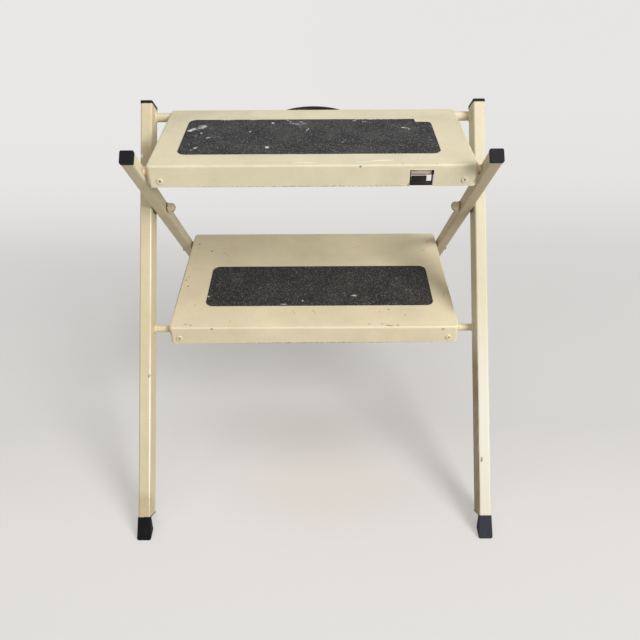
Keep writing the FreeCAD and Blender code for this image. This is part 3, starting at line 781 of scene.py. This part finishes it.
# LOWER STEP
# The deeper folded sheet, with the same enamel, warmer and more scratched than
# the top step. Two spot welds show at the back corners, over the brackets.
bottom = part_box("lower_step_tray")
low_front = bottom[0][1]
low_level = bottom[1][2]
SKIN = 0.002
dress(
    ["lower_step_tray"],
    cream_enamel(
        "lower_step_enamel", linear(224, 211, 179), 0.6, 0.62, 0.55,
        rusty=[
            ((-0.199, low_front + 0.008, low_level - 0.010), (0.004, 0.012, 0.006)),
            # A dark brown line along the bottom edge of the front apron.
            ((0.0, low_front, low_level - 0.0278), (0.20, 0.004, 0.0009)),
            ((0.105, low_front + 0.003, low_level), (0.009, 0.0016, 0.003)),
            ((-0.188, 0.1037, low_level), (0.0026, 0.0022, 0.002)),
            ((0.1855, 0.1062, low_level), (0.0026, 0.0022, 0.002)),
            ((-0.1995, 0.010, low_level), (0.0016, 0.09, 0.002)),
            ((0.177, low_front, low_level - 0.004), (0.004, 0.003, 0.002)),
        ],
        scratched=on_sheet(low_level, [
            (-0.1410, 0.0724, 0.0130, 0.0005, -0.82),
            (-0.0286, -0.0781, 0.0070, 0.0005, -1.09),
            (0.0003, -0.0783, 0.0088, 0.0005, -1.08),
            (0.0700, 0.0936, 0.0150, 0.0004, 0.45),
            (0.1905, -0.0377, 0.0110, 0.0004, 1.35),
        ], SKIN),
        dark=[
            ((-0.1406, low_front, low_level - 0.002), (0.0014, 0.002, 0.0016)),
            ((0.116, -0.1085, low_level), (0.0022, 0.0009, 0.003)),
        ] + on_sheet(low_level, [
            (-0.1264, 0.0855, 0.0010, 0.0010),
            (-0.1165, -0.0976, 0.0010, 0.0009),
            (-0.1713, -0.0608, 0.0009, 0.0009),
            (0.0933, -0.0788, 0.0010, 0.0009),
            (0.1281, -0.0859, 0.0012, 0.0010),
            (-0.1776, -0.1046, 0.0022, 0.0008),
            (-0.1703, -0.1062, 0.0022, 0.0008),
            (0.0770, -0.1057, 0.0020, 0.0008),
            (0.0946, -0.1057, 0.0020, 0.0008),
            (-0.1939, 0.0015, 0.0010, 0.0020),
            (-0.1904, 0.0097, 0.0009, 0.0014),
            (-0.188, 0.1037, 0.0008, 0.0008),
            (0.1855, 0.1062, 0.0008, 0.0008),
        ], SKIN),
        pale=on_sheet(low_level, [
            (-0.0826, -0.0875, 0.0020, 0.0010),
            (-0.0702, -0.0794, 0.0016, 0.0009),
        ], SKIN),
    ),
)
dress(
    ["lower_step_angles", "lower_step_bracket_left", "lower_step_bracket_right"],
    cream_enamel("lower_bracket_enamel", linear(200, 186, 150), 0.5, 0.8, 0.9),
)


# LOWER STEP RIVETS
# The same blind rivets as on the top step, in the front corners. They are
# painted over with the step.
rivet_finish("lower_rivet_enamel", "lower_step_rivets")


# LOWER GRIP PAD
# The same grit sheet, whole at all four corners. It has only a few pale specks
# and two dusty patches.
low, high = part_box("lower_grip_pad")
low_z = high[2]
grip_sheet(
    "lower_grip_sheet",
    "lower_grip_pad",
    grip_outline(low, high),
    grit(
        "lower_grit",
        linear(33, 32, 32),
        splashes=on_sheet(low_z, [
            (0.0585, -0.0409, 0.0058, 0.0022),
            (-0.0159, -0.0529, 0.0024, 0.0018),
            (-0.0439, -0.0610, 0.0060, 0.0012),
            (-0.1543, -0.0408, 0.0020, 0.0020),
            (0.1361, -0.0277, 0.0013, 0.0013),
            (0.1233, 0.0021, 0.0013, 0.0013),
        ]),
        faint=on_sheet(low_z, [
            (-0.1180, 0.0060, 0.0120, 0.0180),
            (0.1260, -0.0080, 0.0160, 0.0200),
        ]),
        dusting=0.13,
    ),
    "lower_step",
)


# LOWER PIVOT ROD
# A steel rod through both rear legs, with a push cap on each end.
dress(
    ["lower_pivot_rod"],
    cream_enamel("lower_rod_enamel", linear(206, 190, 152), 0.6, 0.9, 1.1, width=0.001),
)
dress(["pivot_rod_caps"], zinc_plate("push_cap_zinc"))


# FLOOR AND LIGHT
# A pale floor whose colour holds painted shade: greyer in the middle distance,
# darker under and in front of the steps for their shadow, and darker towards
# the right near the stool to even out the right lamp's light. It is also warmed
# between the legs. A wide soft lamp stands at the right, with a weak one at the
# left and another above. The sky is pale where it shows.
floor_mesh = bpy.data.meshes.new("floor")
floor_mesh.from_pydata([(-12, -6, 0), (12, -6, 0), (12, 22, 0), (-12, 22, 0)], [], [(0, 1, 2, 3)])
floor = bpy.data.objects.new("floor", floor_mesh)
bpy.context.scene.collection.objects.link(floor)
floor_paper, sheet, shader = new_material("floor_paper")
where = sheet.place()
split = sheet.node("ShaderNodeSeparateXYZ")
sheet.feed(split.inputs["Vector"], where)
depth = sheet.node("ShaderNodeMapRange")
sheet.feed(depth.inputs["Value"], split.outputs["Y"])
depth.inputs["From Min"].default_value = -0.45
depth.inputs["From Max"].default_value = 1.35
ramp = sheet.node("ShaderNodeValToRGB")
sheet.feed(ramp.inputs["Fac"], depth.outputs["Result"])
# The ramp's grey band in the middle distance is painted shade.
shades = (
    (0.011, (225, 223, 220)),
    (0.089, (226, 223, 220)),
    (0.139, (222, 219, 216)),
    (0.194, (217, 215, 212)),
    (0.250, (219, 217, 214)),
    (0.325, (220, 219, 217)),
    (0.406, (221, 220, 218)),
    (0.483, (222, 221, 219)),
    (0.567, (227, 226, 224)),
    (0.694, (231, 230, 229)),
    (0.972, (233, 232, 231)),
)
ramp.color_ramp.elements[0].position = shades[0][0]
ramp.color_ramp.elements[0].color = linear(*shades[0][1])
ramp.color_ramp.elements[1].position = shades[-1][0]
ramp.color_ramp.elements[1].color = linear(*shades[-1][1])
for position, shade in shades[1:-1]:
    ramp.color_ramp.elements.new(position).color = linear(*shade)
warm = marks(sheet, where, [((0.02, -0.22, 0.0), (0.24, 0.13, 1.0))], 0.9)
paper = sheet.mix(sheet.math("MULTIPLY", warm, 0.8), ramp.outputs["Color"], linear(222, 215, 208))
# A darker patch under and in front of the steps, a painted shadow.
painted_step_shadow = marks(sheet, where, [((-0.01, -0.115, 0.0), (0.23, 0.095, 1.0))], 0.95)
paper = sheet.mix(sheet.math("MULTIPLY", painted_step_shadow, 0.8), paper, linear(205, 201, 195))
# The near floor is painted darker towards the right, painted shade against the right lamp's light.
painted_right_shade = sheet.step(split.outputs["X"], -0.5, 0.6, 0.0, 0.11)
painted_right_shade = sheet.math("MULTIPLY", painted_right_shade, sheet.step(split.outputs["Y"], 0.1, 0.8, 1.0, 0.25))
paper = sheet.mix(painted_right_shade, paper, (0.0, 0.0, 0.0, 1.0))
paths = sheet.node("ShaderNodeLightPath")
seen = sheet.math("MAXIMUM", paths.outputs["Is Camera Ray"], paths.outputs["Is Glossy Ray"])
seen = sheet.math("MAXIMUM", seen, paths.outputs["Is Transmission Ray"])
glow = sheet.math("MULTIPLY", seen, sheet.step(split.outputs["Y"], 0.05, 0.75, 0.50, 0.98))
bounce = sheet.mix(0.3, paper, (0, 0, 0, 1))
sheet.feed(shader.inputs["Base Color"], sheet.mix(glow, sheet.mix(seen, bounce, paper), (0, 0, 0, 1)))
sheet.feed(shader.inputs["Emission Color"], paper)
sheet.feed(shader.inputs["Emission Strength"], glow)
shader.inputs["Roughness"].default_value = 0.9
shader.inputs["Specular IOR Level"].default_value = 0.1
floor_mesh.materials.append(floor_paper)


def soft_lamp(name, place, aim, size, power):
    lamp = bpy.data.lights.new(name, "AREA")
    lamp.shape = "DISK"
    lamp.size = size
    lamp.energy = power
    holder = bpy.data.objects.new(name, lamp)
    holder.location = place
    back = [place[i] - aim[i] for i in range(3)]
    length = math.sqrt(sum(v * v for v in back))
    holder.rotation_euler = (
        math.acos(back[2] / length),
        0.0,
        math.atan2(back[1], back[0]) + math.pi / 2,
    )
    bpy.context.scene.collection.objects.link(holder)
    return holder


soft_lamp("right_lamp", (1.5, -1.35, 1.75), (0, 0, 0.2), 1.2, 57)
soft_lamp("left_lamp", (-1.5, -1.3, 1.2), (0, 0, 0.2), 0.5, 3)
soft_lamp("upper_lamp", (0.0, -0.1, 2.2), (0, 0, 0.2), 1.6, 9)
world = bpy.data.worlds.new("surround")
world.use_nodes = True
surround = world.node_tree.nodes["Background"]
surround.inputs["Color"].default_value = (1.0, 0.995, 0.985, 1.0)
sky = Sheet(world.node_tree)
looked_at = sky.node("ShaderNodeLightPath").outputs["Is Camera Ray"]
sky.feed(surround.inputs["Strength"], sky.math("ADD", 0.335, sky.math("MULTIPLY", looked_at, 0.46)))
bpy.context.scene.world = world
bpy.context.scene.view_settings.view_transform = "Standard"

lens = bpy.data.cameras.new("camera")
lens.lens = 35.57
lens.sensor_width = 36.0
lens.clip_start = 0.01
camera = bpy.data.objects.new("camera", lens)
camera.location = (0.0085, -0.7828, 0.7649)
camera.rotation_euler = (0.8927, 0.00408, -0.00329)
bpy.context.scene.collection.objects.link(camera)
bpy.context.scene.camera = camera
